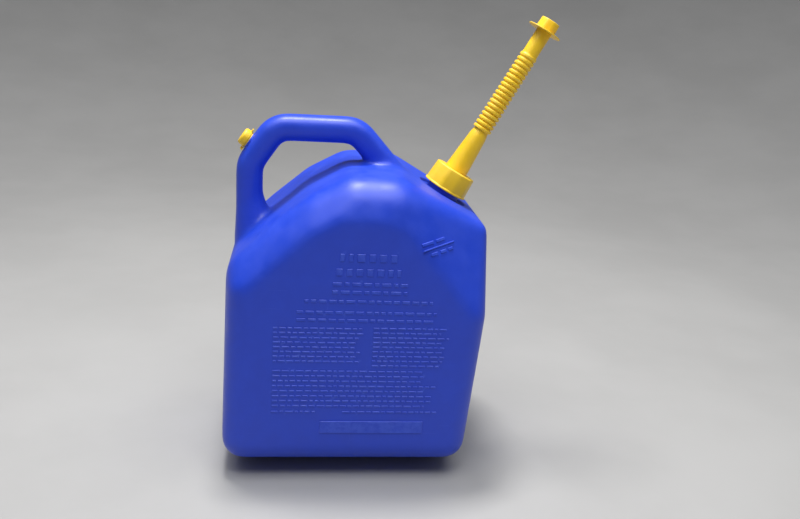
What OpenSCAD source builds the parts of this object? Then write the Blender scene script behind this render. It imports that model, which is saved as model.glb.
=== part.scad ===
// Five-gallon-class fuel can: blow-moulded tank with a hollow handle, a screw collar that holds a
// flexible pouring spout, a push-on tip cap and a small vent cap on the handle's back corner.
// X runs from the back wall to the pouring end, Y across the can, Z up. The origin is the centre
// of the flat base.

/* [Tank] */
// Length of the tank between its end walls, at the base
tank_length = 288; // [260:1:350]
// Depth of the tank between its two broad faces
tank_depth = 244; // [220:1:280]
// Height of the crest under the handle
crest_height = 354; // [290:1:400]
// Wall thickness of the moulding
wall = 2.8; // [2:0.1:4]
// Height of the knee where the back wall meets the back slope
back_knee_height = 250; // [220:1:270]
// How far the back wall leans in at its knee
back_lean = 6; // [0:1:12]
// Drop of the front slope from the crest to the brow
front_drop = 56; // [40:1:64]
// How far the front wall flares out at the brow
front_flare = 12; // [4:1:16]
// Radius of the shoulders beside the crest
shoulder_radius = 38; // [30:1:42]
// Radius round the broad faces
face_radius = 24; // [16:1:30]
// Radius of the rounded base edges
base_radius = 46; // [30:1:50]
// Radius of the brow above the front wall
brow_radius = 14; // [8:1:20]

/* [Handle] */
// Height of the handle's top above the crest
handle_rise = 53; // [48:1:70]
// Thickness of the handle, seen from the side
handle_thickness = 31; // [26:1:34]
// Width of the handle across the can
handle_width = 36; // [30:1:42]
// Corner radius of the handle's section
handle_corner = 13; // [8:1:14]
// Distance from the back wall to the centre line of the back leg
back_leg_inset = 23; // [20:1:30]
// Slant of the handle's back corner, from level
corner_slant = 56; // [45:1:62]
// Height of the slanted back corner
corner_height = 44; // [38:1:50]
// Slant of the front leg, from level
front_leg_slant = 48; // [42:1:54]
// Place of the bend above the front leg, forward of the tank's centre
front_bend_x = 2; // [-10:1:6]

/* [Neck] */
// Place of the neck, forward of the tank's centre
neck_x = 107; // [100:1:112]
// Depth of the round well that the neck stands in
well_depth = 3; // [1:0.5:4]
// Radius of the well
well_radius = 31; // [29:0.5:33]
// Radius of the neck at the foot of its thread
neck_radius = 20.4; // [18:0.1:21]
// Wall of the neck
neck_wall = 2.9; // [2.4:0.1:3.5]
// Height of the neck's rim above the well
neck_height = 27; // [25:0.5:30]
// Rise of the thread in one turn
thread_pitch = 6; // [5.6:0.1:6.5]
// Height of the thread's ridge
thread_ridge = 1.4; // [1:0.1:1.6]
// Turns of thread on the neck
neck_thread_turns = 2; // [1.5:0.25:2.25]

/* [Collar] */
// Gap between the well's floor and the collar
collar_lift = 8; // [6:0.5:9]
// Wall of the collar at its bottom
collar_wall = 5; // [3.6:0.1:5.6]
// How much narrower the collar is at its top, in radius
collar_taper = 2.1; // [1:0.1:2.4]
// Thickness of the collar's top
collar_top = 2.2; // [1.8:0.1:3]
// Thickness of the neck gasket
gasket_thickness = 2; // [1.5:0.1:3]
// Thickness of the spout's flange
flange_thickness = 2; // [1.6:0.1:3]

/* [Spout] */
// Radius of the cone where it leaves the collar
cone_base_radius = 14; // [12.5:0.1:15]
// Height of the cone above the collar
cone_height = 54; // [45:1:65]
// Wall of the spout
spout_wall = 1.6; // [1.4:0.1:2]
// Valley radius of the corrugated stretch
bellows_radius = 9.3; // [9:0.1:10.5]
// Height of a rib above its valley, at the cone
rib_height = 2.4; // [2:0.1:2.6]
// How much lower the last rib is than the first
rib_fade = 1; // [0:0.1:1.2]
// Distance between neighbouring ribs
rib_pitch = 5.7; // [5.6:0.1:7]
// Ribs between two bending places
ribs_per_link = 3; // [3:1:4]
// Length of the smooth tube above the ribs
tip_length = 43; // [36:1:55]

/* [Caps] */
// Height of the tip cap
tip_cap_height = 14; // [11:0.5:18]
// Radius of the tip cap at its open end
tip_cap_radius = 12.9; // [12.3:0.1:14]
// Radius of the tip cap's finger flange
tip_flange_radius = 20.5; // [17:0.5:24]
// Radius of the vent cap
vent_cap_radius = 10; // [9.5:0.1:11]
// Height of the vent cap
vent_cap_height = 8.5; // [7:0.5:9.5]
// Radius of the vent spigot
spigot_radius = 6.2; // [5.8:0.1:6.4]
// Height of the vent spigot
spigot_height = 5.5; // [5:0.5:6]
// Place of the vent along the handle's slanted corner, as a part of it
vent_place = 0.42; // [0.38:0.01:0.5]

/* [Hidden] */

tank_blue = [0.13, 0.24, 0.74];
spout_yellow = [0.97, 0.78, 0.10];
seal_black = [0.12, 0.12, 0.13];

joint_gap = 0.3;
seat_gap = 0.1;
fine = 64;
skin_facets = 24;
cavity_facets = 16;
half_length = tank_length / 2;
half_depth = tank_depth / 2;

// ---- Side profile of the tank, as the corners of its outline before they are rounded.
back_base = [-half_length - 2, 0];
back_knee = [-half_length + back_lean - 3, back_knee_height];
crest_back = [-8, crest_height];
crest_front = [50, crest_height];
brow = [half_length - 3 + front_flare, crest_height - front_drop];
front_base = [half_length - 3, 0];
// The back slope swells a little between its knee and the crest.
slope_swell = 6;
slope_low = back_knee + (crest_back - back_knee) * 0.36 + [-0.61, 0.79] * slope_swell;
slope_high = back_knee + (crest_back - back_knee) * 0.70 + [-0.61, 0.79] * slope_swell * 1.4;
side_profile = [back_base, back_knee, slope_low, slope_high, crest_back, crest_front, brow,
    front_base];

// ---- Outline of the flat part of each broad face, reached by balls of face_radius.
face_low = 46;
face_outline = [
    [back_base[0] + face_radius + 2, face_low],
    [back_knee[0] + face_radius + 3, back_knee_height - 24],
    [-44, crest_height - 63],
    [-14, crest_height - 46],
    [32, crest_height - 46],
    [50, crest_height - 55],
    [brow[0] - face_radius - 1, brow[1] - 96],
    [front_base[0] - face_radius - 1, face_low]];

function turned(v) = [-v[1], v[0]];
function unit(v) = v / norm(v);
// Corner q of an outline, moved in by r from both edges that meet there.
function inner_corner(p, q, s, r) =
    let (u = unit(q - p), w = unit(s - q), n = -turned(u), m = -turned(w))
    q - (n + m) * -r / (1 + n * m);
function around(list, i) = list[(i + len(list)) % len(list)];
function inset_at(i, r) =
    inner_corner(around(side_profile, i - 1), side_profile[i], around(side_profile, i + 1), r);

shoulder_y = half_depth - shoulder_radius - 4;
base_y = half_depth - base_radius - 24;
brow_y = half_depth - face_radius - 31;

module ball(x, y, z, r) {
    for (side = [-1, 1])
        translate([x, side * y, z])
            sphere(r);
}

// The tank's rounded form, drawn in by a distance from its outer face.
module tank_form(inset) {
    hull() {
        for (p = face_outline)
            ball(p[0], half_depth - face_radius, p[1], face_radius - inset);
        for (i = [1:5])
            let (p = inset_at(i, shoulder_radius))
            ball(p[0], shoulder_y, p[1], shoulder_radius - inset);
        let (p = inset_at(6, brow_radius))
            ball(p[0], brow_y, p[1], brow_radius - inset);
        for (i = [0, 7])
            let (p = inset_at(i, base_radius)) {
                ball(p[0], base_y, p[1], base_radius - inset);
                for (side = [-1, 1])
                    translate([p[0], side * base_y, inset])
                        cylinder(h = 1, r = base_radius / 8);
            }
    }
}

// ---- The neck's frame: its axis stands square to the front slope.
spout_tilt = atan2(crest_front[1] - brow[1], brow[0] - crest_front[0]);
slope_at_neck = crest_height - (neck_x - crest_front[0]) * tan(spout_tilt);
neck_seat_z = slope_at_neck - well_depth / cos(spout_tilt);
neck_bore = neck_radius - neck_wall;

module at_neck(z = 0) {
    translate([neck_x, 0, neck_seat_z])
        rotate([0, spout_tilt, 0])
            translate([0, 0, z])
                children();
}

// ---- The handle's centre line: [x, z] of each corner.
grip_z = crest_height + handle_rise - handle_thickness / 2;
back_leg_x = back_knee[0] + back_leg_inset - 3;
corner_run = corner_height / tan(corner_slant);
// The front leg ends inside the slope, below where its outer face goes in.
leg_sink = handle_rise + 11;
handle_line = [
    [back_leg_x, back_knee_height + 8],
    [back_leg_x, grip_z - corner_height],
    [back_leg_x + corner_run, grip_z],
    [front_bend_x, grip_z],
    [front_bend_x + leg_sink / tan(front_leg_slant), grip_z - leg_sink]];
handle_bend = 26;
corner_steps = 6;
bend_steps = 6;

// The handle's section as a ring of [out, across] points: out is towards the outside of its bends.
function handle_ring(inset) =
    let (out = handle_thickness / 2 - handle_corner, across = handle_width / 2 - handle_corner,
        r = handle_corner - inset)
    [for (quarter = [0:3], step = [0:corner_steps])
        let (turn = 90 * (quarter + step / corner_steps))
        [(quarter == 0 || quarter == 3 ? out : -out) + r * cos(turn),
            (quarter < 2 ? across : -across) + r * sin(turn)]];

module handle_section(inset) {
    polygon(handle_ring(inset));
}

// Angle turned at corner i, and how far from the corner the bend starts.
function bend_angle(i) =
    let (u = unit(handle_line[i] - handle_line[i - 1]), w = unit(handle_line[i + 1] - handle_line[i]))
    acos(u * w);
function bend_reach(i) = handle_bend * tan(bend_angle(i) / 2);

// Places along the handle as [point, outward direction] pairs: the ends, and steps round each bend.
function bend_places(i) =
    let (u = unit(handle_line[i] - handle_line[i - 1]),
        centre = handle_line[i] - u * bend_reach(i) - turned(u) * handle_bend)
    [for (step = [0:bend_steps])
        let (a = bend_angle(i) * step / bend_steps, n = turned(u) * cos(a) + u * sin(a))
        [centre + n * handle_bend, n]];
handle_places = let (last = len(handle_line) - 1)
    concat([[handle_line[0], turned(unit(handle_line[1] - handle_line[0]))]],
        [for (i = [1:last - 1]) each bend_places(i)],
        [[handle_line[last], turned(unit(handle_line[last] - handle_line[last - 1]))]]);

// The handle, swept by a loop along its centre line.
module handle_tube(inset) {
    ring = handle_ring(inset);
    count = len(ring);
    last = count * (len(handle_places) - 1);
    points = [for (place = handle_places, c = ring)
        [place[0][0] + place[1][0] * c[0], c[1], place[0][1] + place[1][1] * c[0]]];
    sides = [for (i = [0:len(handle_places) - 2], k = [0:count - 1])
        let (a = count * i + k, b = count * i + (k + 1) % count)
        each [[a, b, a + count], [b, b + count, a + count]]];
    ends = [[for (k = [0:count - 1]) count - 1 - k], [for (k = [0:count - 1]) last + k]];
    polyhedron(points, concat(sides, ends));
}

// The back leg's foot swells where it runs into the back wall's knee.
foot_spread = 10;
foot_bottom = handle_line[0][1];
foot_top = foot_bottom + 0.6 * (handle_line[1][1] - foot_bottom);
module leg_foot(top, bottom) {
    d = bottom - top;
    hull() {
        translate([top[0], 0, top[1]])
            rotate([0, atan2(d[0], d[1]), 0])
                linear_extrude(1)
                    handle_section(0.5);
        translate([bottom[0], 0, bottom[1]])
            rotate([0, atan2(d[0], d[1]), 0])
                linear_extrude(1)
                    offset(r = foot_spread, $fn = 24)
                        handle_section(0);
    }
}

// ---- The vent's frame: on the outside of the handle's slanted back corner.
vent_spot = handle_line[1] + (handle_line[2] - handle_line[1]) * vent_place;
vent_normal = [-sin(corner_slant), cos(corner_slant)];
vent_origin = vent_spot + vent_normal * (handle_thickness / 2);
spigot_bore = spigot_radius - 1.6;
vent_pad = 0.6;

module at_vent(z = 0) {
    translate([vent_origin[0], 0, vent_origin[1]])
        rotate([0, -corner_slant, 0])
            translate([0, 0, z])
                children();
}

// ---- A helical ridge of [radius, height] corners, swept by a loop.
thread_steps = 30;
function ridge_point(turn, corner) =
    [corner[0] * cos(360 * turn), corner[0] * sin(360 * turn), thread_pitch * turn + corner[1]];

module helical_ridge(root, crest, turns) {
    section = [[root, -1.3], [crest, -0.6], [crest, 0.6], [root, 1.3]];
    steps = ceil(turns * thread_steps);
    points = [for (i = [0:steps]) each [for (c = section) ridge_point(turns * i / steps, c)]];
    flip = crest > root;
    sides = [for (i = [0:steps - 1], k = [0:3])
        let (a = 4 * i + k, b = 4 * i + (k + 1) % 4)
        each [[a, a + 4, b], [b, a + 4, b + 4]]];
    ends = [[0, 1, 2], [0, 2, 3],
        [4 * steps + 2, 4 * steps + 1, 4 * steps], [4 * steps + 3, 4 * steps + 2, 4 * steps]];
    faces = concat(sides, ends);
    polyhedron(points, flip ? [for (f = faces) [f[2], f[1], f[0]]] : faces);
}

thread_start = neck_height - 4.5 - thread_pitch * neck_thread_turns;

// ---- One blow-moulded piece: hollow tank, hollow handle, neck and vent spigot. Each of its two
// skins is joined first, at its own size, and the turned details are cut and added after that.
module outer_skin() {
    resize([0, 0, 0])
        union() {
            tank_form(0, $fn = skin_facets);
            handle_tube(0);
            leg_foot([back_leg_x, foot_top], [back_leg_x + 8, foot_bottom]);
        }
}

module hollow() {
    resize([0, 0, 0])
        union() {
            difference() {
                tank_form(wall, $fn = cavity_facets);
                at_neck(-wall)
                    cylinder(h = neck_height + wall, r = well_radius + wall, $fn = 48);
            }
            handle_tube(wall);
        }
}

module tank_body() {
    color(tank_blue)
        difference() {
            union() {
                difference() {
                    union() {
                        outer_skin();
                        at_vent(-4)
                            cylinder(h = 4 + vent_pad, r = vent_cap_radius, $fn = fine);
                    }
                    at_neck()
                        cylinder(h = neck_height, r = well_radius, $fn = fine);
                    hollow();
                }
                at_neck(-wall / 2)
                    cylinder(h = neck_height + wall / 2, r = neck_radius, $fn = fine);
                at_neck(thread_start)
                    helical_ridge(neck_radius - 0.4, neck_radius + thread_ridge,
                        neck_thread_turns);
                at_vent(-1.5)
                    cylinder(h = spigot_height + 1.5, r = spigot_radius, $fn = fine);
            }
            at_neck(-10)
                cylinder(h = neck_height + 20, r = neck_bore, $fn = fine);
            at_vent(-5)
                cylinder(h = spigot_height + 10, r = spigot_bore, $fn = fine);
        }
}

// ---- Heights along the neck's axis, from the well's floor.
gasket_z = neck_height + seat_gap;
flange_z = gasket_z + gasket_thickness + seat_gap;
collar_ceiling = flange_z + flange_thickness + seat_gap;
collar_end = collar_ceiling + collar_top;
collar_bore = neck_radius + thread_ridge + 0.4;
collar_hole = cone_base_radius + 0.6;
cone_end = collar_end + cone_height;

module neck_gasket() {
    color(seal_black)
        at_neck(gasket_z)
            difference() {
                cylinder(h = gasket_thickness, r = collar_bore - 0.8, $fn = fine);
                translate([0, 0, -1])
                    cylinder(h = gasket_thickness + 2, r = neck_bore, $fn = fine);
            }
}

module spout_collar() {
    bottom_r = collar_bore + collar_wall;
    top_r = bottom_r - collar_taper;
    rounding = 1.2;
    height = collar_end - collar_lift;
    color(spout_yellow)
        at_neck(collar_lift)
            union() {
                rotate_extrude($fn = fine)
                    polygon([
                        [collar_bore, 0], [bottom_r, 0], [bottom_r, 1.6],
                        [bottom_r - 0.6, 2.2], [top_r, height - rounding],
                        [top_r - rounding, height], [collar_hole, height],
                        [collar_hole, height - collar_top], [collar_bore, height - collar_top]]);
                translate([0, 0, thread_start + thread_pitch / 2 - collar_lift])
                    helical_ridge(collar_bore + 0.4, neck_radius + 0.5, 1.25);
            }
}

// ---- The spout: its parts stand one on another along the neck's axis.
link_length = rib_pitch * ribs_per_link;
bend_count = 6;
rib_count = ribs_per_link * bend_count;
first_bend = cone_end + 1 + 2 * rib_pitch;
bellows_end = cone_end + 1 + rib_count * rib_pitch;
socket_radius = bellows_radius - 0.8;
knuckle_radius = socket_radius - joint_gap;
knuckle_rise = 4.5;
spout_bore = socket_radius - 2.3;
face_gap = 1.6;

function rib_radius(k) = bellows_radius + rib_height - rib_fade * k / (rib_count - 1);

// Outer outline of rib k, whose middle stands at height z.
function rib_outline(k, z) = [
    [bellows_radius, z - 1.3], [rib_radius(k) - 0.5, z - 0.8], [rib_radius(k), z - 0.35],
    [rib_radius(k), z + 0.35], [rib_radius(k) - 0.5, z + 0.8], [bellows_radius, z + 1.3]];

// An arc of the ball joint's surface about height z, between two heights from its centre.
arc_steps = 6;
function ball_arc(r, z, low, high) = [for (i = [0:arc_steps])
    let (h = low + (high - low) * i / arc_steps)
    [sqrt(r * r - h * h), z + h]];

// The knuckle that the next piece bends on: its outside, then down the bore.
function knuckle(z) = concat(
    [[knuckle_radius - 0.2, z - face_gap]],
    ball_arc(knuckle_radius, z, -1.4, knuckle_rise),
    [[spout_bore, z + knuckle_rise]]);

// The socket that rides on the knuckle below it, from its inside out.
socket_depth = sqrt(socket_radius * socket_radius - spout_bore * spout_bore);
function socket(z) = [for (i = [0:arc_steps])
    let (h = socket_depth + (face_gap - socket_depth) * i / arc_steps)
    [sqrt(socket_radius * socket_radius - h * h), z + h]];

module spout_base() {
    ribs_below = 2;
    color(spout_yellow)
        at_neck()
            rotate_extrude($fn = fine)
                polygon(concat(
                    [[cone_base_radius - spout_wall - 1, flange_z],
                        [collar_bore - 0.5, flange_z],
                        [collar_bore - 0.5, flange_z + flange_thickness],
                        [cone_base_radius, flange_z + flange_thickness],
                        [cone_base_radius, collar_end + 2],
                        [bellows_radius, cone_end],
                        [bellows_radius, cone_end + 1]],
                    [for (k = [0:ribs_below - 1])
                        each rib_outline(k, cone_end + 1 + (k + 0.5) * rib_pitch)],
                    knuckle(first_bend),
                    [[spout_bore, cone_end], [cone_base_radius - spout_wall - 1, collar_end + 2]]));
}

module bellows_link(n) {
    z = first_bend + (n - 1) * link_length;
    first_rib = 2 + (n - 1) * ribs_per_link;
    color(spout_yellow)
        at_neck()
            rotate_extrude($fn = fine)
                polygon(concat(
                    socket(z),
                    [for (k = [0:ribs_per_link - 1])
                        each rib_outline(first_rib + k, z + (k + 0.5) * rib_pitch)],
                    knuckle(z + link_length)));
}

tip_start = first_bend + (bend_count - 1) * link_length;
tip_end = bellows_end + tip_length;

module spout_tip() {
    ribs_above = rib_count - 2 - (bend_count - 1) * ribs_per_link;
    color(spout_yellow)
        at_neck()
            rotate_extrude($fn = fine)
                polygon(concat(
                    socket(tip_start),
                    [for (k = [0:ribs_above - 1])
                        each rib_outline(rib_count - ribs_above + k,
                            tip_start + (k + 0.5) * rib_pitch)],
                    [[bellows_radius, bellows_end], [bellows_radius, tip_end],
                        [bellows_radius - spout_wall, tip_end],
                        [bellows_radius - spout_wall, bellows_end + 4],
                        [spout_bore, bellows_end]]));
}

// ---- The tip cap: skirt, inner plug and finger flange.
cap_roof = 1.6;
cap_plug = 6;
flange_sheet = 1.4;
module tip_cap() {
    roof_z = tip_end + seat_gap;
    open_z = roof_z + cap_roof - tip_cap_height;
    color(spout_yellow)
        at_neck()
            rotate_extrude($fn = fine)
                polygon([
                    [0, roof_z], [0, roof_z + cap_roof],
                    [tip_cap_radius - 1.7, roof_z + cap_roof],
                    [tip_cap_radius - 0.7, roof_z + cap_roof - 1],
                    [tip_cap_radius, open_z + flange_sheet],
                    [tip_flange_radius, open_z + flange_sheet], [tip_flange_radius, open_z],
                    [bellows_radius + joint_gap, open_z], [bellows_radius + joint_gap, roof_z],
                    [bellows_radius - spout_wall - joint_gap, roof_z],
                    [bellows_radius - spout_wall - joint_gap, roof_z - cap_plug],
                    [bellows_radius - 2 * spout_wall - joint_gap, roof_z - cap_plug],
                    [bellows_radius - 2 * spout_wall - joint_gap, roof_z]]);
}

// ---- The vent cap and the strap that keeps it: the hinge line lies below the cap.
strap_z = vent_pad + seat_gap;
strap_thickness = 1.2;
cap_z = strap_z + strap_thickness + joint_gap;
hinge_x = -(vent_cap_radius + 3.2);
hinge_z = cap_z + 0.8;
hinge_radius = 0.8;
hinge_length = 7;

module vent_strap() {
    color(spout_yellow)
        at_vent(strap_z)
            difference() {
                union() {
                    cylinder(h = strap_thickness, r = vent_cap_radius - 0.6, $fn = fine);
                    translate([hinge_x - 1.5, -hinge_length / 2, 0])
                        cube([-hinge_x - 4, hinge_length, strap_thickness]);
                    for (side = [-1, 1])
                        translate([hinge_x, side * (hinge_length / 2 - 0.6), hinge_z - strap_z])
                            rotate([90, 0, 0])
                                cylinder(h = 1.2, r = hinge_radius, center = true, $fn = 32);
                    for (side = [-1, 1])
                        translate([hinge_x - hinge_radius, side * (hinge_length / 2 - 0.6) - 0.6, 0])
                            cube([2 * hinge_radius, 1.2, hinge_z - strap_z]);
                }
                translate([0, 0, -1])
                    cylinder(h = strap_thickness + 2, r = spigot_radius + joint_gap, $fn = fine);
            }
}

module vent_cap() {
    roof = 1.6;
    skirt = 1.4;
    plug_r = spigot_bore - 1.1;
    knuckle_length = hinge_length - 2.4 - 2 * joint_gap;
    color(spout_yellow)
        at_vent(cap_z)
            union() {
                rotate_extrude($fn = fine)
                    polygon([
                        [0, vent_cap_height - roof], [0, vent_cap_height],
                        [vent_cap_radius - 1.4, vent_cap_height],
                        [vent_cap_radius, vent_cap_height - 1.4], [vent_cap_radius, 0],
                        [vent_cap_radius - skirt, 0],
                        [vent_cap_radius - skirt, vent_cap_height - roof],
                        [plug_r, vent_cap_height - roof], [plug_r, spigot_height - cap_z - 1.5],
                        [plug_r - 1.2, spigot_height - cap_z - 1.5],
                        [plug_r - 1.2, vent_cap_height - roof]]);
                translate([hinge_x, 0, hinge_z - cap_z])
                    rotate([90, 0, 0])
                        cylinder(h = knuckle_length, r = hinge_radius, center = true, $fn = 32);
                translate([hinge_x, -knuckle_length / 2, hinge_z - cap_z - 0.5])
                    cube([4, knuckle_length, 1.2]);
            }
}

tank_body();
neck_gasket();
spout_collar();
spout_base();
bellows_link(1);  // bellows_link_1
bellows_link(2);  // bellows_link_2
bellows_link(3);  // bellows_link_3
bellows_link(4);  // bellows_link_4
bellows_link(5);  // bellows_link_5
spout_tip();
tip_cap();
vent_strap();
vent_cap();
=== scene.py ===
import math
import random

import bmesh
import bpy
from mathutils import Matrix, Vector
from mathutils.bvhtree import BVHTree


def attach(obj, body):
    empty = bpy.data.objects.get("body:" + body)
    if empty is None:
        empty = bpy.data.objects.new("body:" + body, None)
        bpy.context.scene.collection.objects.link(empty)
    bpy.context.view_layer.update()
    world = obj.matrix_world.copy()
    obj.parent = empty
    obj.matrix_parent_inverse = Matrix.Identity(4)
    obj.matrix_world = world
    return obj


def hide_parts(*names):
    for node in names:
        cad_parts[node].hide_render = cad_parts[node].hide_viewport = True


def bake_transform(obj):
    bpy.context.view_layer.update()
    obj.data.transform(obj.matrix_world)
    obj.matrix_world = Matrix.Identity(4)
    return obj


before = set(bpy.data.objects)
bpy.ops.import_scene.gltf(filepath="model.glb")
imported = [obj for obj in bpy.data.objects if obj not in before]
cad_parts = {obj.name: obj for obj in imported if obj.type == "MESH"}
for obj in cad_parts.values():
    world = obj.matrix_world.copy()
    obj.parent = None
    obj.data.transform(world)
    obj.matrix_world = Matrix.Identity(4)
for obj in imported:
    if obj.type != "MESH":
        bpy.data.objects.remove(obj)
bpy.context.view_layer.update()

# Lengths below are millimetres, in the part's own frame: X from the back wall to the pouring end,
# Y across the can, Z up from the flat base. Each finished piece is brought to metres at the end.
MM = 0.001
FULL_TURN = math.tau

# ---- Sizes of the tank moulding.
HALF_LENGTH, HALF_DEPTH, CREST = 144.0, 122.0, 354.0
WALL = 2.8
SHOULDER_R, FACE_R, BASE_R, BROW_R = 38.0, 24.0, 46.0, 14.0
BACK_KNEE = Vector((-141.0, 250.0))
BROW = Vector((153.0, 298.0))
CREST_BACK, CREST_FRONT = Vector((-8.0, CREST)), Vector((50.0, CREST))
SLOPE_OUT = Vector((-0.61, 0.79))
SIDE_PROFILE = [
    Vector((-146.0, 0.0)), BACK_KNEE,
    BACK_KNEE + (CREST_BACK - BACK_KNEE) * 0.36 + SLOPE_OUT * 6.0,
    BACK_KNEE + (CREST_BACK - BACK_KNEE) * 0.70 + SLOPE_OUT * 8.4,
    CREST_BACK, CREST_FRONT, BROW, Vector((141.0, 0.0)),
]
FACE_OUTLINE = [
    (-120.0, 46.0), (-114.0, 226.0), (-44.0, 291.0), (-14.0, 308.0), (32.0, 308.0), (50.0, 299.0),
    (128.0, 202.0), (116.0, 46.0),
]

# ---- Sizes of the handle: a rounded bar swept along this centre line.
HANDLE_THICK, HANDLE_WIDE, HANDLE_CORNER, HANDLE_BEND = 31.0, 36.0, 13.0, 26.0
GRIP_Z = CREST + 53.0 - HANDLE_THICK / 2
CORNER_SLANT, LEG_SLANT = math.radians(56.0), math.radians(48.0)
BACK_LEG_X, FRONT_BEND_X, LEG_SINK, CORNER_RISE = -121.0, 2.0, 64.0, 44.0
FOOT_TOP_Z, FOOT_LOW_Z, FOOT_LEAN, FOOT_SPREAD = 312.0, 258.0, 8.0, 10.0
HANDLE_LINE = [
    Vector((BACK_LEG_X, FOOT_LOW_Z)), Vector((BACK_LEG_X, GRIP_Z - CORNER_RISE)),
    Vector((BACK_LEG_X + CORNER_RISE / math.tan(CORNER_SLANT), GRIP_Z)),
    Vector((FRONT_BEND_X, GRIP_Z)),
    Vector((FRONT_BEND_X + LEG_SINK / math.tan(LEG_SLANT), GRIP_Z - LEG_SINK)),
]

# ---- The neck's frame, square to the front slope, and the vent's frame on the handle's corner.
TILT = math.atan2(CREST - BROW[1], BROW[0] - 50.0)
WELL_DEPTH, WELL_R = 3.0, 31.0
NECK_SEAT = Vector((107.0, 0.0, CREST - 57.0 * math.tan(TILT) - WELL_DEPTH / math.cos(TILT)))
NECK = Matrix.Translation(NECK_SEAT) @ Matrix.Rotation(TILT, 4, "Y")
SPIGOT_R, SPIGOT_RISE, SPIGOT_BORE, VENT_CAP_R, VENT_CAP_Z = 6.2, 5.5, 4.6, 10.0, 2.2
VENT_SPOT = HANDLE_LINE[1].lerp(HANDLE_LINE[2], 0.42)
VENT_OUT = Vector((-math.sin(CORNER_SLANT), math.cos(CORNER_SLANT))) * HANDLE_THICK / 2
VENT = (Matrix.Translation((VENT_SPOT[0] + VENT_OUT[0], 0.0, VENT_SPOT[1] + VENT_OUT[1]))
        @ Matrix.Rotation(-CORNER_SLANT, 4, "Y"))

# ---- Heights and radii along the neck's axis.
NECK_R, NECK_BORE, NECK_RIM, PITCH, RIDGE = 20.4, 17.5, 27.0, 6.0, 1.4
THREAD_START = NECK_RIM - 4.5 - PITCH * 2
FLANGE_Z, COLLAR_LOW, COLLAR_CEILING, COLLAR_TOP = 29.2, 8.0, 31.3, 33.5
COLLAR_BORE, COLLAR_R, COLLAR_TOP_R, COLLAR_HOLE = 22.2, 27.2, 25.1, 14.6
CONE_R, CONE_END, SPOUT_WALL = 14.0, 87.5, 1.6
VALLEY_R, RIB_HEIGHT, RIB_FADE, RIB_PITCH, RIB_COUNT = 9.3, 2.4, 1.0, 5.7, 18
CREST_HALF, RIB_WALL, RIBS_PER_LINK = 1.35, 1.5, 3
FIRST_BEND, LINK, BENDS = 99.9, 17.1, 6
TUBE_END = 234.1
CAP_OPEN, CAP_TOP, CAP_R, CAP_FLANGE_R = 221.8, 235.8, 12.9, 20.5


# ---------------------------------------------------------------------------------------------
# Shop tools: small helpers that every piece is made with.

def scratch_object(bm):
    mesh = bpy.data.meshes.new("scratch")
    bm.to_mesh(mesh)
    bm.free()
    obj = bpy.data.objects.new("scratch", mesh)
    bpy.context.scene.collection.objects.link(obj)
    return obj


def taken_back(obj, *spare):
    """The object's shape with its modifiers, as a bmesh. The scratch objects are thrown away."""
    bpy.context.view_layer.update()
    result = bmesh.new()
    result.from_object(obj, bpy.context.evaluated_depsgraph_get())
    for o in (obj, *spare):
        mesh = o.data
        bpy.data.objects.remove(o)
        bpy.data.meshes.remove(mesh)
    return result


def outward(bm, merge=0.002):
    bmesh.ops.remove_doubles(bm, verts=bm.verts, dist=merge)
    bmesh.ops.recalc_face_normals(bm, faces=bm.faces)
    return bm


def joined(base, tool, operation="UNION"):
    """Adds a closed shape to another, or with DIFFERENCE cuts it away."""
    body, other = scratch_object(base), scratch_object(tool)
    boolean = body.modifiers.new("join", "BOOLEAN")
    boolean.operation, boolean.solver, boolean.object = operation, "MANIFOLD", other
    return taken_back(body, other)


def finished(name, bm, material, crease):
    """The finished piece: in metres, smooth shaded, with edges sharper than crease marked hard."""
    outward(bm, 0.004)
    bmesh.ops.scale(bm, vec=(MM, MM, MM), verts=bm.verts)
    for face in bm.faces:
        face.smooth = True
    for edge in bm.edges:
        if len(edge.link_faces) == 2:
            edge.smooth = edge.calc_face_angle() < math.radians(crease)
    mesh = bpy.data.meshes.new(name)
    bm.to_mesh(mesh)
    bm.free()
    mesh.materials.append(material)
    obj = bpy.data.objects.new(name, mesh)
    bpy.context.scene.collection.objects.link(obj)
    return obj


def turned(outline, ease=(), steps=96, segments=3):
    """Spins an outline of (radius, height) corners about Z. ease gives (corner, size) roundings.
    An outline that starts and ends on the axis is left open there, so that its poles close."""
    bm = bmesh.new()
    corners = [bm.verts.new((r, 0.0, z)) for r, z in outline]
    open_ended = outline[0][0] == 0.0 and outline[-1][0] == 0.0
    for i in range(len(corners) - (1 if open_ended else 0)):
        bm.edges.new((corners[i], corners[(i + 1) % len(corners)]))
    for corner, size in ease:
        bmesh.ops.bevel(bm, geom=[corners[corner]], offset=size, offset_type="OFFSET",
                        segments=segments, profile=0.5, affect="VERTICES", material=-1)
    bmesh.ops.spin(bm, geom=bm.verts[:] + bm.edges[:], cent=(0, 0, 0), axis=(0, 0, 1),
                   angle=FULL_TURN, steps=steps, use_merge=True, use_duplicate=False)
    return outward(bm)


def helical_ridge(root, crest, start, turns, steps_per_turn=48):
    """A trapezoid thread ridge, spun and lifted at the same time."""
    bm = bmesh.new()
    section = [bm.verts.new((r, 0.0, start + z))
               for r, z in ((root, -1.3), (crest, -0.6), (crest, 0.6), (root, 1.3))]
    face = bm.faces.new(section)
    steps = int(turns * steps_per_turn)
    bmesh.ops.spin(bm, geom=[face], cent=(0, 0, 0), axis=(0, 0, 1), angle=FULL_TURN * turns,
                   dvec=(0, 0, PITCH * turns / steps), steps=steps, use_duplicate=False)
    return outward(bm)


def placed(bm, matrix):
    bmesh.ops.transform(bm, matrix=matrix, verts=bm.verts)
    return bm


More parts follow.
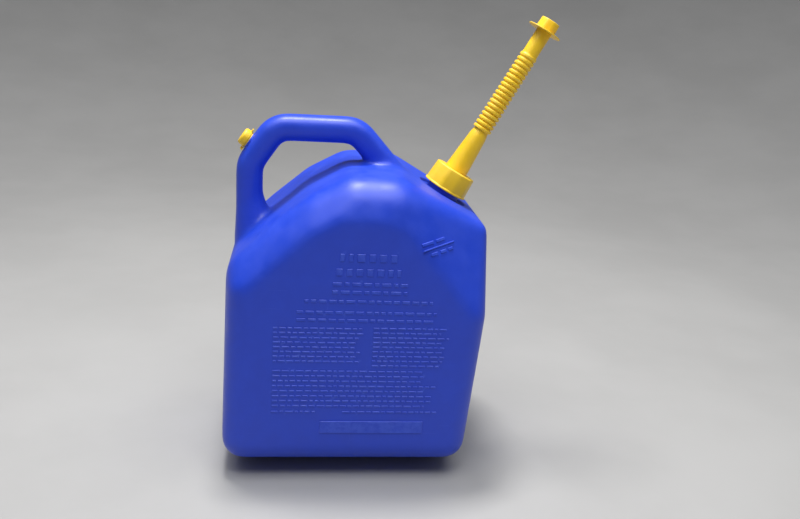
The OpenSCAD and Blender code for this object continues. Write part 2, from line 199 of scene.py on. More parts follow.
def block(size, ease=0.4, segments=2):
    """A box about the origin with eased edges."""
    bm = bmesh.new()
    bmesh.ops.create_cube(bm, size=1.0)
    bmesh.ops.scale(bm, vec=size, verts=bm.verts)
    bmesh.ops.bevel(bm, geom=bm.edges[:], offset=ease, offset_type="OFFSET", segments=segments,
                    profile=0.5, affect="EDGES", material=-1)
    return bm


def added(base, other):
    """Puts a second mesh beside the first in one bmesh. They don't touch."""
    mesh = bpy.data.meshes.new("scratch")
    other.to_mesh(mesh)
    other.free()
    base.from_mesh(mesh)
    bpy.data.meshes.remove(mesh)
    return base


# ---------------------------------------------------------------------------------------------
# Finishes.

def effect_group(name, inputs, outputs):
    group = bpy.data.node_groups.new(name, "ShaderNodeTree")
    for label, _ in inputs:
        group.interface.new_socket(label, in_out="INPUT", socket_type="NodeSocketFloat")
    for label in outputs:
        group.interface.new_socket(label, in_out="OUTPUT", socket_type="NodeSocketFloat")
    for item, (label, default) in zip(group.interface.items_tree, inputs):
        item.default_value = default
    return group, group.nodes.new("NodeGroupInput"), group.nodes.new("NodeGroupOutput")


def value_node(tree, operation, a, b=None, clamp=False):
    node = tree.nodes.new("ShaderNodeMath")
    node.operation, node.use_clamp = operation, clamp
    for socket, given in zip(node.inputs, (a, b)):
        if isinstance(given, (int, float)):
            socket.default_value = given
        elif given is not None:
            tree.links.new(given, socket)
    return node.outputs[0]


def noise_node(tree, vector, scale, detail=4.0, roughness=0.55):
    node = tree.nodes.new("ShaderNodeTexNoise")
    node.inputs["Detail"].default_value = detail
    node.inputs["Roughness"].default_value = roughness
    if isinstance(scale, (int, float)):
        node.inputs["Scale"].default_value = scale
    else:
        tree.links.new(scale, node.inputs["Scale"])
    tree.links.new(vector, node.inputs["Vector"])
    return node.outputs["Fac"]


def range_node(tree, value, low, high, out_low=0.0, out_high=1.0):
    node = tree.nodes.new("ShaderNodeMapRange")
    node.interpolation_type = "SMOOTHSTEP"
    for label, number in (("From Min", low), ("From Max", high), ("To Min", out_low),
                          ("To Max", out_high)):
        if isinstance(number, (int, float)):
            node.inputs[label].default_value = number
        else:
            tree.links.new(number, node.inputs[label])
    tree.links.new(value, node.inputs["Value"])
    return node.outputs["Result"]


def stretched(tree, vector, scale, turn=(0.0, 0.0, 0.0)):
    node = tree.nodes.new("ShaderNodeMapping")
    node.inputs["Scale"].default_value = scale
    node.inputs["Rotation"].default_value = turn
    tree.links.new(vector, node.inputs["Vector"])
    return node.outputs["Vector"]


def make_grain_group():
    """The fine pebble of the mould and the slow unevenness of blown plastic, as a height."""
    group, given, out = effect_group(
        "Moulded grain", [("Pebble Scale", 900.0), ("Pebble Depth", 0.3), ("Wave Depth", 1.0)],
        ["Height", "Shade"])
    place = group.nodes.new("ShaderNodeTexCoord").outputs["Object"]
    pebble = noise_node(group, place, given.outputs["Pebble Scale"], 3.0)
    wave = noise_node(group, place, 16.0, 2.0, 0.4)
    fine = value_node(group, "MULTIPLY", pebble, given.outputs["Pebble Depth"])
    slow = value_node(group, "MULTIPLY", wave, given.outputs["Wave Depth"])
    group.links.new(value_node(group, "ADD", fine, slow), out.inputs["Height"])
    mottle = noise_node(group, place, 55.0, 5.0, 0.6)
    group.links.new(range_node(group, mottle, 0.25, 0.75), out.inputs["Shade"])
    return group


def make_scuff_group():
    """Hair scratches in two directions, gathered in worn patches."""
    group, given, out = effect_group("Scuffs", [("Cover", 0.5)], ["Mask"])
    place = group.nodes.new("ShaderNodeTexCoord").outputs["Object"]
    lengthwise = noise_node(group, stretched(group, place, (14.0, 260.0, 420.0), (0.2, 0.5, 0.1)),
                            1.0, 3.0, 0.6)
    upright = noise_node(group, stretched(group, place, (380.0, 300.0, 11.0), (0.1, -0.35, 0.0)),
                         1.0, 3.0, 0.6)
    patch = noise_node(group, place, 9.0, 3.0, 0.6)
    lines = value_node(group, "MAXIMUM", range_node(group, lengthwise, 0.66, 0.74),
                       range_node(group, upright, 0.67, 0.75))
    worn = range_node(group, patch, 0.44, 0.68)
    mask = value_node(group, "MULTIPLY", value_node(group, "MULTIPLY", lines, worn),
                      given.outputs["Cover"], clamp=True)
    group.links.new(mask, out.inputs["Mask"])
    return group


def make_dust_group():
    """Dull film that lies thicker on what faces up."""
    group, given, out = effect_group("Dust film", [("Cover", 0.4)], ["Mask"])
    coordinates = group.nodes.new("ShaderNodeTexCoord")
    split = group.nodes.new("ShaderNodeSeparateXYZ")
    group.links.new(coordinates.outputs["Normal"], split.inputs[0])
    upward = range_node(group, split.outputs["Z"], -0.2, 0.95, 0.12, 1.0)
    cloud = range_node(group, noise_node(group, coordinates.outputs["Object"], 28.0, 6.0, 0.65),
                       0.32, 0.72)
    mask = value_node(group, "MULTIPLY", value_node(group, "MULTIPLY", upward, cloud),
                      given.outputs["Cover"], clamp=True)
    group.links.new(mask, out.inputs["Mask"])
    return group


def make_rub_group():
    """Pale rubbed plastic along the edges that stand out."""
    group, given, out = effect_group("Edge rub", [("Reach", 0.52), ("Cover", 0.5)], ["Mask"])
    edge = group.nodes.new("ShaderNodeNewGeometry").outputs["Pointiness"]
    place = group.nodes.new("ShaderNodeTexCoord").outputs["Object"]
    standing = range_node(group, edge, given.outputs["Reach"], 0.62)
    broken = range_node(group, noise_node(group, place, 120.0, 5.0, 0.7), 0.35, 0.65)
    mask = value_node(group, "MULTIPLY", value_node(group, "MULTIPLY", standing, broken),
                      given.outputs["Cover"], clamp=True)
    group.links.new(mask, out.inputs["Mask"])
    return group


def make_parting_group():
    """The mould's parting line: a hair-thin ridge in the plane Y = 0."""
    group, given, out = effect_group("Parting line", [("Half Width", 0.0006)], ["Ridge"])
    place = group.nodes.new("ShaderNodeTexCoord").outputs["Object"]
    split = group.nodes.new("ShaderNodeSeparateXYZ")
    group.links.new(place, split.inputs[0])
    away = value_node(group, "ABSOLUTE", split.outputs["Y"])
    ridge = range_node(group, away, 0.0, given.outputs["Half Width"], 1.0, 0.0)
    group.links.new(ridge, out.inputs["Ridge"])
    return group


GRAIN, SCUFFS, DUST = make_grain_group(), make_scuff_group(), make_dust_group()
RUB, PARTING = make_rub_group(), make_parting_group()


def group_node(tree, group, **values):
    node = tree.nodes.new("ShaderNodeGroup")
    node.node_tree = group
    for label, value in values.items():
        node.inputs[label.replace("_", " ")].default_value = value
    return node


def colour_mix(tree, factor, first, second):
    node = tree.nodes.new("ShaderNodeMix")
    node.data_type = "RGBA"
    tree.links.new(factor, node.inputs[0])
    for socket, given in ((node.inputs[6], first), (node.inputs[7], second)):
        if isinstance(given, tuple):
            socket.default_value = (*given, 1.0)
        else:
            tree.links.new(given, socket)
    return node.outputs[2]


def moulded_plastic(name, deep, light, rubbed, dust, gloss, pebble, wave, parting=False,
                    scuff_cover=0.5, dust_cover=0.35, rub_cover=0.4, specular=0.5):
    """Semi-gloss polythene: mottled colour, worn edges, scratches, dust and moulding grain."""
    material = bpy.data.materials.new(name)
    material.use_nodes = True
    tree = material.node_tree
    shader = tree.nodes["Principled BSDF"]
    grain = group_node(tree, GRAIN, Pebble_Depth=pebble, Wave_Depth=wave)
    scuffs = group_node(tree, SCUFFS, Cover=scuff_cover).outputs["Mask"]
    film = group_node(tree, DUST, Cover=dust_cover).outputs["Mask"]
    rub = group_node(tree, RUB, Cover=rub_cover).outputs["Mask"]
    colour = colour_mix(tree, grain.outputs["Shade"], deep, light)
    colour = colour_mix(tree, rub, colour, rubbed)
    colour = colour_mix(tree, scuffs, colour, rubbed)
    colour = colour_mix(tree, film, colour, dust)
    tree.links.new(colour, shader.inputs["Base Color"])
    rough = range_node(tree, grain.outputs["Shade"], 0.0, 1.0, gloss - 0.04, gloss + 0.05)
    rough = value_node(tree, "ADD", rough, value_node(tree, "MULTIPLY", scuffs, 0.2))
    rough = value_node(tree, "ADD", rough, value_node(tree, "MULTIPLY", film, 0.35), clamp=True)
    tree.links.new(rough, shader.inputs["Roughness"])
    height = value_node(tree, "SUBTRACT", grain.outputs["Height"],
                        value_node(tree, "MULTIPLY", scuffs, 0.15))
    if parting:
        ridge = group_node(tree, PARTING).outputs["Ridge"]
        height = value_node(tree, "ADD", height, value_node(tree, "MULTIPLY", ridge, 0.9))
    bump = tree.nodes.new("ShaderNodeBump")
    bump.inputs["Strength"].default_value = 0.35
    bump.inputs["Distance"].default_value = 0.0006
    tree.links.new(height, bump.inputs["Height"])
    tree.links.new(bump.outputs["Normal"], shader.inputs["Normal"])
    shader.inputs["IOR"].default_value = 1.5
    shader.inputs["Specular IOR Level"].default_value = specular
    return material


TANK_BLUE = moulded_plastic(
    "Blue blown polythene", (0.011, 0.050, 0.56), (0.013, 0.056, 0.60), (0.06, 0.13, 0.72),
    (0.11, 0.15, 0.46), 0.42, 0.22, 0.30, parting=True, dust_cover=0.10, scuff_cover=0.3)
SPOUT_YELLOW = moulded_plastic(
    "Yellow moulded polythene", (0.86, 0.54, 0.008), (0.93, 0.60, 0.012), (0.95, 0.74, 0.22),
    (0.62, 0.50, 0.28), 0.38, 0.18, 0.35, dust_cover=0.18, scuff_cover=0.35)
SEAL_BLACK = moulded_plastic(
    "Black rubber seal", (0.012, 0.012, 0.013), (0.02, 0.02, 0.021), (0.06, 0.06, 0.06),
    (0.12, 0.11, 0.10), 0.62, 0.35, 0.2)


# ---------------------------------------------------------------------------------------------
# The tank moulding.

def across(v):
    return Vector((-v[1], v[0]))


def inner_corner(i, distance):
    """Corner i of the side profile, moved in from both edges that meet there."""
    count = len(SIDE_PROFILE)
    before, corner, after = (SIDE_PROFILE[(i + k) % count] for k in (-1, 0, 1))
    n = -across((corner - before).normalized())
    m = -across((after - corner).normalized())
    return corner + (n + m) * distance / (1.0 + n.dot(m))


def tank_form(inset, facets):
    """The tank's swollen box: balls at its corners, wrapped in one skin."""
    bm = bmesh.new()

    def ball_pair(x, y, z, radius):
        for side in (-1.0, 1.0):
            ball = bmesh.ops.create_uvsphere(bm, u_segments=facets, v_segments=facets // 2,
                                             radius=radius - inset,
                                             matrix=Matrix.Translation((x, side * y, z)))
            inner = [v for v in ball["verts"] if side * v.co.y < y - 0.1]
            bmesh.ops.delete(bm, geom=inner, context="VERTS")

    for x, z in FACE_OUTLINE:
        ball_pair(x, HALF_DEPTH - FACE_R, z, FACE_R)
    for i in range(1, 6):
        x, z = inner_corner(i, SHOULDER_R)
        ball_pair(x, HALF_DEPTH - SHOULDER_R - 4.0, z, SHOULDER_R)
    x, z = inner_corner(6, BROW_R)
    ball_pair(x, HALF_DEPTH - FACE_R - 31.0, z, BROW_R)
    for i in (0, 7):
        x, z = inner_corner(i, BASE_R)
        ball_pair(x, HALF_DEPTH - BASE_R - 24.0, z, BASE_R)
    hull = bmesh.ops.convex_hull(bm, input=bm.verts, use_existing_faces=False)
    spare = [g for g in hull["geom_interior"] + hull["geom_unused"]
             if isinstance(g, bmesh.types.BMVert)]
    bmesh.ops.delete(bm, geom=list(set(spare)), context="VERTS")
    inside = [f for f in bm.faces if f not in set(
        g for g in hull["geom"] if isinstance(g, bmesh.types.BMFace))]
    bmesh.ops.delete(bm, geom=inside, context="FACES")
    bmesh.ops.delete(bm, geom=[e for e in bm.edges if not e.link_faces], context="EDGES")
    bmesh.ops.delete(bm, geom=[v for v in bm.verts if not v.link_faces], context="VERTS")
    return outward(bm)


def bar_section(bm, spot, heading, inset, swell=0.0):
    """The handle's rounded section as a face, square to its heading in the plane of X and Z."""
    verts = bmesh.ops.create_grid(bm, x_segments=1, y_segments=1, size=0.5)["verts"]
    bmesh.ops.scale(bm, vec=(HANDLE_THICK + 2 * swell - 2 * inset,
                             HANDLE_WIDE + 2 * swell - 2 * inset, 1.0), verts=verts)
    made = bmesh.ops.bevel(bm, geom=verts, offset=HANDLE_CORNER + swell - inset,
                           offset_type="OFFSET", segments=6, profile=0.5,
                           affect="VERTICES", material=-1)
    face = made["verts"][0].link_faces[0]
    turn = Matrix.Rotation(math.atan2(heading[0], heading[1]), 4, "Y")
    bmesh.ops.transform(bm, matrix=Matrix.Translation((spot[0], 0.0, spot[1])) @ turn,
                        verts=face.verts[:])
    return face


def handle_bar(inset):
    """Straight runs by extrusion and bends by spinning, from the back leg to the front leg."""
    bm = bmesh.new()
    headings = [(b - a).normalized() for a, b in zip(HANDLE_LINE, HANDLE_LINE[1:])]
    face = bar_section(bm, HANDLE_LINE[0], headings[0], inset)
    here = HANDLE_LINE[0]
    for i, heading in enumerate(headings):
        bend = heading.angle(headings[i + 1]) if i + 1 < len(headings) else 0.0
        stop = HANDLE_LINE[i + 1] - heading * HANDLE_BEND * math.tan(bend / 2)
        push = stop - here
        grown = bmesh.ops.extrude_face_region(bm, geom=[face])["geom"]
        if i:
            bmesh.ops.delete(bm, geom=[face], context="FACES_ONLY")
        verts = [g for g in grown if isinstance(g, bmesh.types.BMVert)]
        face = next(g for g in grown if isinstance(g, bmesh.types.BMFace))
        bmesh.ops.translate(bm, vec=(push[0], 0.0, push[1]), verts=verts)
        if not bend:
            break
        centre = stop - across(heading) * HANDLE_BEND
        spun = bmesh.ops.spin(bm, geom=[face], cent=(centre[0], 0.0, centre[1]), axis=(0, 1, 0),
                              angle=bend, steps=8, use_duplicate=False)["geom_last"]
        bmesh.ops.delete(bm, geom=[face], context="FACES_ONLY")
        face = next(g for g in spun if isinstance(g, bmesh.types.BMFace))
        here = stop + (heading + headings[i + 1]) * HANDLE_BEND * math.tan(bend / 2)
    return outward(bm)


def back_foot():
    """The swell where the handle's back leg runs into the knee of the back wall."""
    bm = bmesh.new()
    top, bottom = Vector((BACK_LEG_X, FOOT_TOP_Z)), Vector((BACK_LEG_X + FOOT_LEAN, FOOT_LOW_Z))
    heading = bottom - top
    for spot, swell in ((top, -0.5), (bottom, FOOT_SPREAD)):
        bar_section(bm, spot, heading, 0.0, swell)
    bmesh.ops.delete(bm, geom=bm.faces[:], context="FACES_ONLY")
    bmesh.ops.convex_hull(bm, input=bm.verts, use_existing_faces=False)
    return outward(bm)


def blown_skin(voxel, rounds):
    """Tank, handle and the leg's foot run together as blown plastic does, with soft corners."""
    skin = tank_form(0.0, 36)
    added(skin, handle_bar(0.0))
    added(skin, back_foot())
    body = scratch_object(skin)
    remesh = body.modifiers.new("run together", "REMESH")
    remesh.mode, remesh.voxel_size, remesh.adaptivity = "VOXEL", voxel, 0.0
    skin = taken_back(body)
    for _ in range(rounds):
        bmesh.ops.smooth_vert(skin, verts=skin.verts, factor=0.5, use_axis_x=True,
                              use_axis_y=True, use_axis_z=True)
    return skin


# Raised dashes stand where a maker would mould wording: plain bars, with nothing to read.
# Each block of rows gives its top height, number of rows, their spacing, its span in X, the height
# of its dashes and their mean length.
FACE_BLOCKS = [
    (273.0, 1, 0.0, -17.0, 50.0, 8.6, 7.0), (256.5, 1, 0.0, -21.0, 55.0, 8.0, 6.5),
    (243.0, 2, 9.3, -24.0, 58.0, 3.8, 9.0), (223.0, 1, 0.0, -54.0, 87.0, 3.4, 8.0),
    (210.0, 2, 9.0, -62.0, 92.0, 3.4, 8.0), (191.0, 8, 5.6, -87.0, 14.0, 2.2, 6.5),
    (192.0, 9, 5.6, 23.0, 109.0, 2.2, 6.5), (140.0, 8, 6.1, -87.0, 104.0, 2.2, 6.5),
    (90.0, 1, 0.0, -88.0, -34.0, 2.2, 6.5), (90.0, 1, 0.0, -8.0, 100.0, 2.2, 6.5),
]


def dash(length, height, lift=0.9):
    """One raised dash lying in the plane of X and Z, proud of Y = 0 towards -Y."""
    return block((length, lift * 2, height), min(0.45, height * 0.2), 1)


def face_dashes(side):
    """All dashes of one broad face. side is -1 for the near face and 1 for the far one."""
    chance = random.Random(41)
    rows = bmesh.new()
    for top, count, spacing, start, stop, height, mean in FACE_BLOCKS:
        for row in range(count):
            x, end = start, stop - (stop - start) * 0.12 * chance.random() * (count > 2)
            while end - x > 2.5:
                length = min(mean * chance.uniform(0.55, 1.35), end - x)
                middle = -side * (x + length / 2)
                added(rows, placed(dash(length, height), Matrix.Translation(
                    (middle, side * HALF_DEPTH, top - row * spacing))))
                x += length + height * 0.35 + 1.2
    added(rows, placed(dash(118.0, 15.0, 1.1),
                       Matrix.Translation((-side * 26.0, side * HALF_DEPTH, 71.0))))
    return rows


def level_mark(skin):
    """A fill-level bar with short dashes on the flat facet above the near face's front corner."""
    bm = skin.copy()
    bmesh.ops.triangulate(bm, faces=bm.faces)
    tree = BVHTree.FromBMesh(bm)
    bm.free()
    outer = Vector((0.385, -0.869, 0.309)).normalized()
    along = Vector((38.0, 0.0, 12.0))
    along = (along - outer * along.dot(outer)).normalized()
    up = along.cross(outer).normalized() * -1.0
    if up.z < 0.0:
        up = -up
    centre = Vector((91.0, -113.0, 286.0))
    marks = bmesh.new()
    for shift, rise, length, height in (
            (0.0, 0.0, 42.0, 1.6), (-13.0, 6.5, 15.0, 3.4), (4.0, 6.5, 12.0, 3.4),
            (-8.0, -6.5, 9.0, 3.4), (4.0, -6.5, 8.0, 3.4), (14.0, -6.5, 7.0, 3.4)):
        spot = centre + along * shift + up * rise
        hit, normal, _, _ = tree.ray_cast(spot + outer * 60.0, -outer)
        if hit is None:
            continue
        side = (along - normal * along.dot(normal)).normalized()
        axes = Matrix((side, -normal, side.cross(-normal))).transposed().to_4x4()
        added(marks, placed(dash(length, height), Matrix.Translation(hit) @ axes))
    return marks


def make_tank():
    skin = blown_skin(2.7, 14)
    marks = level_mark(skin)
    for side in (-1.0, 1.0):
        added(marks, face_dashes(side))
    skin = joined(skin, marks)
    skin = joined(skin, placed(turned(
        [(0.0, -4.0), (VENT_CAP_R, -4.0), (VENT_CAP_R, 0.6), (0.0, 0.6)], [(2, 0.4)], 64), VENT))
    skin = joined(skin, placed(turned(
        [(0.0, 0.0), (WELL_R - 1.2, 0.0), (WELL_R, 1.2), (WELL_R, 1.8), (WELL_R + 2.6, 3.9),
         (WELL_R + 2.6, 30.0), (0.0, 30.0)], [(3, 0.8)], 128), NECK), "DIFFERENCE")
    throat = placed(turned([(0.0, -WALL), (WELL_R + WALL, -WALL), (WELL_R + WALL, 40.0),
                            (0.0, 40.0)], (), 48), NECK)
    hollow = joined(tank_form(WALL, 24), throat, "DIFFERENCE")
    skin = joined(skin, hollow, "DIFFERENCE")
    skin = joined(skin, handle_bar(WALL), "DIFFERENCE")
    neck = turned([(NECK_BORE - 2.0, -WALL / 2), (NECK_R + 1.5, -WALL / 2), (NECK_R, 0.9),
                   (NECK_R, NECK_RIM), (NECK_BORE - 2.0, NECK_RIM)],
                  [(2, 0.7), (3, 0.6)], 96)
    neck = joined(neck, helical_ridge(NECK_R - 0.4, NECK_R + RIDGE, THREAD_START, 2.0))
    skin = joined(skin, placed(neck, NECK))
    skin = joined(skin, placed(turned(
        [(0.0, -1.5), (SPIGOT_R, -1.5), (SPIGOT_R, SPIGOT_RISE), (0.0, SPIGOT_RISE)],
        [(2, 0.5)], 64), VENT))
    skin = joined(skin, placed(turned([(0.0, -10.0), (NECK_BORE, -10.0), (NECK_BORE, 37.0),
                                       (0.0, 37.0)], (), 96), NECK), "DIFFERENCE")
    skin = joined(skin, placed(turned(
        [(0.0, -5.0), (SPIGOT_BORE, -5.0), (SPIGOT_BORE, 10.0), (0.0, 10.0)], (), 48), VENT),
        "DIFFERENCE")
    tank = finished("tank_moulding", skin, TANK_BLUE, 34.0)
    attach(tank, "tank")
    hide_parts("tank_body")


# ---------------------------------------------------------------------------------------------
# The screw collar.

def make_collar():
    """Ten shallow flats with soft corners, a bottom lip, a bored middle and a turn of thread."""
    flats = 10
    bm = bmesh.new()
    bmesh.ops.create_cone(bm, cap_ends=True, segments=flats, radius1=COLLAR_R - 0.1,
                          radius2=COLLAR_TOP_R + 0.5, depth=COLLAR_TOP - COLLAR_LOW,
                          matrix=Matrix.Translation((0, 0, (COLLAR_TOP + COLLAR_LOW) / 2))
                          @ Matrix.Rotation(math.radians(9.0), 4, "Z"))
    upright = [e for e in bm.edges if abs(e.verts[0].co.z - e.verts[1].co.z) > 1.0]
    bmesh.ops.bevel(bm, geom=upright, offset=3.2, offset_type="OFFSET", segments=5, profile=0.5,
                    affect="EDGES", material=-1)
    rim = [e for e in bm.edges if all(v.co.z > COLLAR_TOP - 0.01 for v in e.verts)]
    bmesh.ops.bevel(bm, geom=rim, offset=1.3, offset_type="OFFSET", segments=4, profile=0.5,
                    affect="EDGES", material=-1)
    lip = turned([(COLLAR_BORE - 1.0, COLLAR_LOW), (COLLAR_R, COLLAR_LOW),
                  (COLLAR_R, COLLAR_LOW + 1.7), (COLLAR_R - 1.4, COLLAR_LOW + 2.8),
                  (COLLAR_BORE - 1.0, COLLAR_LOW + 2.8)], [(1, 0.5), (2, 0.6)], 96)
    bm = joined(bm, lip)
    bore = turned([(0.0, 0.0), (COLLAR_BORE, 0.0), (COLLAR_BORE, COLLAR_CEILING),
                   (COLLAR_HOLE, COLLAR_CEILING),
                   (COLLAR_HOLE, 40.0), (0.0, 40.0)], [(2, 0.8)], 96)
    bm = joined(bm, bore, "DIFFERENCE")
    bm = joined(bm, helical_ridge(COLLAR_BORE + 0.4, NECK_R + 0.5, THREAD_START + PITCH / 2, 1.25))
    collar = finished("screw_collar", placed(bm, NECK), SPOUT_YELLOW, 30.0)
    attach(collar, "collar")
    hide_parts("spout_collar")


# ---------------------------------------------------------------------------------------------
# The flexible spout.

def rib_radius(k):
    return VALLEY_R + RIB_HEIGHT - RIB_FADE * k / (RIB_COUNT - 1)


def rib_centre(k):
    return CONE_END + 1.0 + (k + 0.5) * RIB_PITCH


def corrugated(first, last):
    """Outer corners of the stretch from the crest of rib `first` to the crest of rib `last`."""
    outline = [(rib_radius(first), rib_centre(first)),
               (rib_radius(first), rib_centre(first) + CREST_HALF)]
    for k in range(first, last):
        middle = (rib_centre(k) + rib_centre(k + 1)) / 2
        outline += [(VALLEY_R, middle - 0.4), (VALLEY_R, middle + 0.4),
                    (rib_radius(k + 1), rib_centre(k + 1) - CREST_HALF)]
        if k + 1 < last:
            outline += [(rib_radius(k + 1), rib_centre(k + 1) + CREST_HALF)]
    return outline + [(rib_radius(last), rib_centre(last))]


def pleated(outline):
    """A thin tube whose outside follows the outline and whose inside follows it a wall below."""
    inner = [(r - RIB_WALL, z) for r, z in reversed(outline)]
    bm = bmesh.new()
    corners = [bm.verts.new((r, 0.0, z)) for r, z in outline + inner]
    for i, corner in enumerate(corners):
        bm.edges.new((corner, corners[(i + 1) % len(corners)]))
    ends = (outline[0][1], outline[-1][1])
    soft = [v for v in corners if min(abs(v.co.z - z) for z in ends) > 0.2]
    bmesh.ops.bevel(bm, geom=soft, offset=0.28, offset_type="OFFSET", segments=2, profile=0.5,
                    affect="VERTICES", material=-1)
    bmesh.ops.spin(bm, geom=bm.verts[:] + bm.edges[:], cent=(0, 0, 0), axis=(0, 0, 1),
                   angle=FULL_TURN, steps=72, use_merge=True, use_duplicate=False)
    return outward(bm)


def make_spout():
    cone_outer = [(COLLAR_BORE - 0.6, FLANGE_Z), (COLLAR_BORE - 0.6, FLANGE_Z + 2.0),
                  (CONE_R, FLANGE_Z + 2.0), (CONE_R, COLLAR_TOP + 3.0),
                  (10.6, CONE_END - 5.0), (VALLEY_R, CONE_END),
                  (VALLEY_R, CONE_END + 1.4), (VALLEY_R + 0.3, CONE_END + 1.7),
                  (rib_radius(0), rib_centre(0) - CREST_HALF), (rib_radius(0), rib_centre(0))]
    cone_inner = [(rib_radius(0) - RIB_WALL, rib_centre(0)), (VALLEY_R - RIB_WALL, CONE_END + 1.5),
                  (VALLEY_R - 1.6, CONE_END), (CONE_R - SPOUT_WALL - 0.4, COLLAR_TOP + 3.0),
                  (CONE_R - SPOUT_WALL - 1.0, FLANGE_Z)]
    cone = turned(cone_outer + cone_inner,
                  [(0, 0.4), (1, 0.4), (2, 0.5), (3, 3.0), (4, 3.0), (5, 1.2), (7, 0.3),
                   (8, 0.25)], 96, 4)
    cone = finished("spout_cone", placed(cone, NECK), SPOUT_YELLOW, 40.0)
    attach(cone, "spout")
    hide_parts("spout_base")

    for k in range(BENDS):
        first = RIBS_PER_LINK * k
        last = first + RIBS_PER_LINK if k < BENDS - 1 else RIB_COUNT - 1
        bend = finished(f"bellows_bend_{k + 1}",
                        placed(pleated(corrugated(first, last)), NECK), SPOUT_YELLOW, 50.0)
        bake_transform(bend)
        if k < BENDS - 1:
            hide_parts(f"bellows_link_{k + 1}")

    top = rib_centre(RIB_COUNT - 1)
    tube_outer = [(rib_radius(RIB_COUNT - 1), top), (rib_radius(RIB_COUNT - 1), top + CREST_HALF),
                  (VALLEY_R + 0.2, top + 2.6), (VALLEY_R, top + 5.0), (VALLEY_R, TUBE_END)]
    tube_inner = [(VALLEY_R - SPOUT_WALL, TUBE_END), (VALLEY_R - SPOUT_WALL, top + 3.0),
                  (rib_radius(RIB_COUNT - 1) - RIB_WALL, top)]
    tube = turned(tube_outer + tube_inner, [(1, 0.3), (2, 0.8), (4, 0.4), (5, 0.4)], 96)
    tube = finished("spout_tube", placed(tube, NECK), SPOUT_YELLOW, 40.0)
    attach(tube, "tip")
    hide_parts("spout_tip")


# ---------------------------------------------------------------------------------------------
# Caps.

def make_tip_cap():
    """Eight-sided cap with a finger flange and an inner plug."""
    sides = 8
    bm = bmesh.new()
    bmesh.ops.create_cone(bm, cap_ends=True, segments=sides, radius1=CAP_R,
                          radius2=CAP_R - 0.7, depth=CAP_TOP - CAP_OPEN,
                          matrix=Matrix.Translation((0, 0, (CAP_TOP + CAP_OPEN) / 2))
                          @ Matrix.Rotation(math.radians(12.0), 4, "Z"))
    upright = [e for e in bm.edges if abs(e.verts[0].co.z - e.verts[1].co.z) > 1.0]
    bmesh.ops.bevel(bm, geom=upright, offset=2.2, offset_type="OFFSET", segments=4, profile=0.5,
                    affect="EDGES", material=-1)
    rim = [e for e in bm.edges if all(v.co.z > CAP_TOP - 0.01 for v in e.verts)]
    bmesh.ops.bevel(bm, geom=rim, offset=0.9, offset_type="OFFSET", segments=3, profile=0.5,
                    affect="EDGES", material=-1)
    flange = turned([(10.5, CAP_OPEN), (CAP_FLANGE_R, CAP_OPEN), (CAP_FLANGE_R, CAP_OPEN + 1.4),
                     (10.5, CAP_OPEN + 1.4)], [(1, 0.5), (2, 0.5)], 80)
    bm = joined(bm, flange)
    bore = turned([(0.0, CAP_OPEN - 5.0), (VALLEY_R + 0.3, CAP_OPEN - 5.0),
                   (VALLEY_R + 0.3, TUBE_END + 0.1), (0.0, TUBE_END + 0.1)], (), 80)
    bm = joined(bm, bore, "DIFFERENCE")
    plug = turned([(5.8, TUBE_END - 6.0), (7.4, TUBE_END - 6.0), (7.4, TUBE_END + 0.8),
                   (5.8, TUBE_END + 0.8)], [(1, 0.4)], 64)
    bm = joined(bm, plug)
    cap = finished("pouring_tip_cap", placed(bm, NECK), SPOUT_YELLOW, 30.0)
    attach(cap, "tip_cap")
    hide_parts("tip_cap")


def make_vent_cap():
    """Press cap with its plug, a lift tab and the hinge barrel at its low side."""
    bm = turned([(0.0, 8.5), (8.4, 8.5), (VENT_CAP_R, 6.5), (VENT_CAP_R, 0.0), (8.6, 0.0), (8.6, 6.9),
                 (3.5, 6.9), (3.5, 1.8), (2.3, 1.8), (2.3, 6.9), (0.0, 6.9)],
                [(1, 1.2), (2, 1.0), (3, 0.3), (7, 0.3)], 72)
    barrel = bmesh.new()
    bmesh.ops.create_cone(barrel, cap_ends=True, segments=32, radius1=0.8, radius2=0.8, depth=4.0,
                          matrix=Matrix.Translation((-13.2, 0, 0.8)) @ Matrix.Rotation(
                              math.radians(90.0), 4, "X"))
    arm = placed(block((4.6, 4.0, 1.2), 0.2), Matrix.Translation((-11.2, 0.0, 0.9)))
    bm = joined(bm, joined(barrel, arm))
    tab = placed(block((4.6, 7.0, 1.5), 0.5, 3), Matrix.Translation((10.6, 0.0, 1.2)))
    bm = joined(bm, tab)
    cap = finished("vent_press_cap", placed(bm, VENT @ Matrix.Translation((0, 0, VENT_CAP_Z))),
                   SPOUT_YELLOW, 30.0)
    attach(cap, "vent_cap")
    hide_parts("vent_cap")


make_tank()
make_collar()
make_spout()
make_tip_cap()
make_vent_cap()

for node, material in (("neck_gasket", SEAL_BLACK), ("vent_strap", SPOUT_YELLOW)):
    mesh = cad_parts[node].data
    mesh.materials.clear()
    mesh.materials.append(material)


# ---------------------------------------------------------------------------------------------
# Studio: a pale floor, soft light from above and the camera.

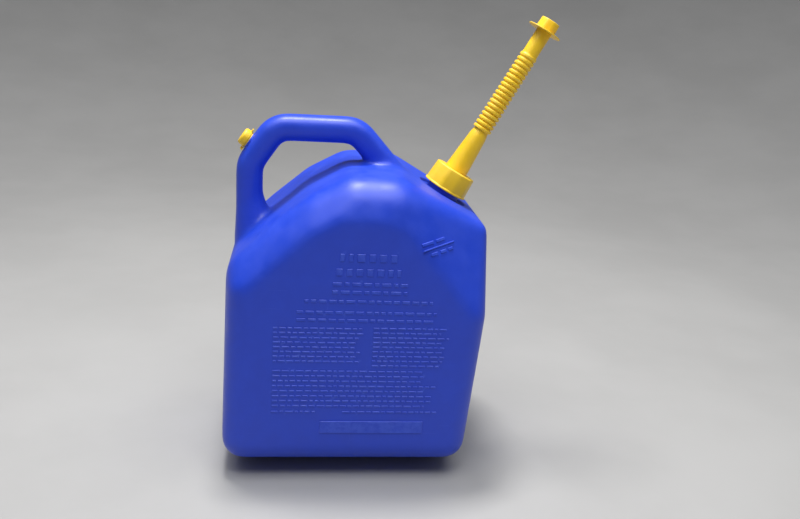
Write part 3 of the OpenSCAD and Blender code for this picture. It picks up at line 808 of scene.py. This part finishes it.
def make_floor():
    """A bench top that sweeps up all round, well away from the can, so that no edge shows."""
    bm = bmesh.new()
    bmesh.ops.create_grid(bm, x_segments=96, y_segments=96, size=6.0)
    flat_radius, rise = 1.3, 0.16
    for v in bm.verts:
        v.co.z = rise * max(0.0, v.co.length - flat_radius) ** 2
    for face in bm.faces:
        face.smooth = True
    mesh = bpy.data.meshes.new("floor")
    bm.to_mesh(mesh)
    bm.free()
    material = bpy.data.materials.new("Pale bench top")
    material.use_nodes = True
    tree = material.node_tree
    shader = tree.nodes["Principled BSDF"]
    place = tree.nodes.new("ShaderNodeTexCoord").outputs["Object"]
    cloud = range_node(tree, noise_node(tree, place, 3.0, 5.0, 0.6), 0.3, 0.7)
    tree.links.new(colour_mix(tree, cloud, (0.37, 0.366, 0.362), (0.40, 0.396, 0.392)),
                   shader.inputs["Base Color"])
    shader.inputs["Roughness"].default_value = 0.6
    mesh.materials.append(material)
    floor = bpy.data.objects.new("floor", mesh)
    bpy.context.scene.collection.objects.link(floor)


def soft_light(name, place, aim, size, power, colour=(1.0, 1.0, 1.0)):
    lamp = bpy.data.lights.new(name, "AREA")
    lamp.shape, lamp.size, lamp.size_y, lamp.energy, lamp.color = (
        "RECTANGLE", size[0], size[1], power, colour)
    obj = bpy.data.objects.new(name, lamp)
    obj.location = place
    obj.rotation_euler = (Vector(aim) - Vector(place)).to_track_quat("-Z", "Y").to_euler()
    bpy.context.scene.collection.objects.link(obj)


make_floor()
soft_light("ceiling panel", (-0.15, 0.25, 2.2), (0.0, 0.0, 0.3), (0.5, 0.4), 42.0,
           (1.0, 0.99, 0.97))
soft_light("ceiling wash", (0.0, -0.7, 2.6), (0.0, 0.0, 0.2), (3.0, 2.2), 60.0, (0.98, 0.99, 1.0))
soft_light("window", (-0.1, -1.1, 2.2), (0.0, 0.0, 0.3), (0.35, 0.3), 6.0, (0.97, 0.98, 1.0))

world = bpy.data.worlds.new("room")
world.use_nodes = True
world.node_tree.nodes["Background"].inputs["Color"].default_value = (0.80, 0.82, 0.85, 1.0)
world.node_tree.nodes["Background"].inputs["Strength"].default_value = 0.26
bpy.context.scene.world = world
bpy.context.scene.view_settings.view_transform = "Standard"

lens = bpy.data.cameras.new("camera")
lens.lens, lens.sensor_width = 38.25, 36.0
camera = bpy.data.objects.new("camera", lens)
camera.location = (-0.058, -0.992, 0.541)
camera.rotation_euler = (math.radians(72.94), math.radians(-3.42), math.radians(-5.86))
bpy.context.scene.collection.objects.link(camera)
bpy.context.scene.camera = camera
